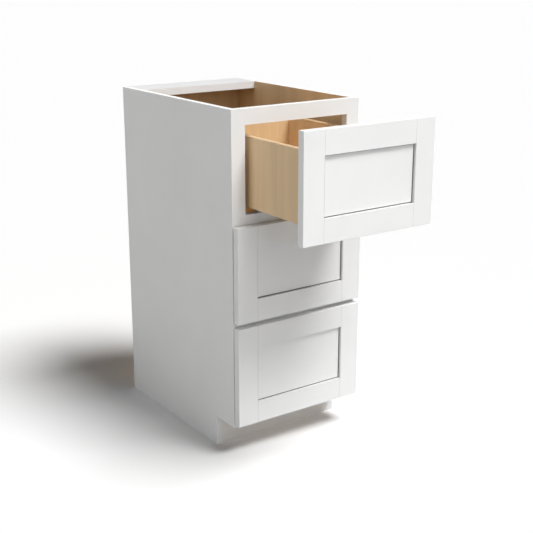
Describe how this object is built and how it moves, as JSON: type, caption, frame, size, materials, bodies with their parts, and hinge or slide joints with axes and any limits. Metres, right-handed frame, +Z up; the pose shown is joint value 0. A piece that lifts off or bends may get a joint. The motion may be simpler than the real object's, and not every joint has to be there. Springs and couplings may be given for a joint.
{
  "type": "vanity drawer base cabinet",
  "caption": "Narrow white vanity base cabinet: face-frame carcass with a recessed toe kick and an open top, and drawers with frame-and-panel fronts on concealed telescoping runners.",
  "frame": {"origin": "where the back of the cabinet meets the floor, at mid-width", "axes": "+X to the right as seen from the front, +Y into the wall, +Z up; drawers open towards -Y"},
  "size_m": [0.381, 0.8088, 0.8763],
  "materials": {
    "white_paint": "satin white paint on wood",
    "natural_plywood": "clear satin on light plywood",
    "zinc_steel": "zinc-plated sheet",
    "grey_plastic": "moulded",
    "clear_rubber": "soft clear pad"
  },
  "bodies": {
    "cabinet": {"side_panel_left": "white_paint", "side_panel_right": "white_paint", "back_panel": "natural_plywood", "deck_panel": "natural_plywood", "toe_kick_board": "white_paint", "top_back_rail": "white_paint", "face_stile_left": "white_paint", "face_stile_right": "white_paint", "face_rail_top": "white_paint", "face_rail_upper": "white_paint", "face_rail_lower": "white_paint", "face_rail_bottom": "white_paint", "upper_runner_cabinet_members": "zinc_steel", "upper_runner_sockets": "grey_plastic", "middle_runner_cabinet_members": "zinc_steel", "middle_runner_sockets": "grey_plastic", "lower_runner_cabinet_members": "zinc_steel", "lower_runner_sockets": "grey_plastic"},
    "upper_drawer": {"upper_front_stile_left": "white_paint", "upper_front_stile_right": "white_paint", "upper_front_rail_top": "white_paint", "upper_front_rail_bottom": "white_paint", "upper_front_panel": "white_paint", "upper_box_side_left": "natural_plywood", "upper_box_side_right": "natural_plywood", "upper_box_front": "natural_plywood", "upper_box_back": "natural_plywood", "upper_box_bottom": "natural_plywood", "upper_runner_drawer_members": "zinc_steel", "upper_locking_clips": "grey_plastic", "upper_bumpers": "clear_rubber"},
    "middle_drawer": {"middle_front_stile_left": "white_paint", "middle_front_stile_right": "white_paint", "middle_front_rail_top": "white_paint", "middle_front_rail_bottom": "white_paint", "middle_front_panel": "white_paint", "middle_box_side_left": "natural_plywood", "middle_box_side_right": "natural_plywood", "middle_box_front": "natural_plywood", "middle_box_back": "natural_plywood", "middle_box_bottom": "natural_plywood", "middle_runner_drawer_members": "zinc_steel", "middle_locking_clips": "grey_plastic", "middle_bumpers": "clear_rubber"},
    "lower_drawer": {"lower_front_stile_left": "white_paint", "lower_front_stile_right": "white_paint", "lower_front_rail_top": "white_paint", "lower_front_rail_bottom": "white_paint", "lower_front_panel": "white_paint", "lower_box_side_left": "natural_plywood", "lower_box_side_right": "natural_plywood", "lower_box_front": "natural_plywood", "lower_box_back": "natural_plywood", "lower_box_bottom": "natural_plywood", "lower_runner_drawer_members": "zinc_steel", "lower_locking_clips": "grey_plastic", "lower_bumpers": "clear_rubber"},
    "upper_runner_slide": {"upper_runner_intermediate_members": "zinc_steel"},
    "middle_runner_slide": {"middle_runner_intermediate_members": "zinc_steel"},
    "lower_runner_slide": {"lower_runner_intermediate_members": "zinc_steel"}
  },
  "joints": [
    {"name": "upper_drawer_travel", "type": "slide", "parent": "cabinet", "child": "upper_drawer", "axis": [0, -1, 0], "range_m": [-0.254, 0.203]},
    {"name": "upper_runner_travel", "type": "slide", "parent": "cabinet", "child": "upper_runner_slide", "axis": [0, -1, 0], "range_m": [-0.127, 0.1015]},
    {"name": "middle_drawer_travel", "type": "slide", "parent": "cabinet", "child": "middle_drawer", "axis": [0, -1, 0], "range_m": [0, 0.457]},
    {"name": "middle_runner_travel", "type": "slide", "parent": "cabinet", "child": "middle_runner_slide", "axis": [0, -1, 0], "range_m": [0, 0.2285]},
    {"name": "lower_drawer_travel", "type": "slide", "parent": "cabinet", "child": "lower_drawer", "axis": [0, -1, 0], "range_m": [0, 0.457]},
    {"name": "lower_runner_travel", "type": "slide", "parent": "cabinet", "child": "lower_runner_slide", "axis": [0, -1, 0], "range_m": [0, 0.2285]}
  ],
  "couplings": [
    {"joint": "upper_runner_travel", "follows": "upper_drawer_travel", "ratio": 0.5},
    {"joint": "middle_runner_travel", "follows": "middle_drawer_travel", "ratio": 0.5},
    {"joint": "lower_runner_travel", "follows": "lower_drawer_travel", "ratio": 0.5}
  ]
}
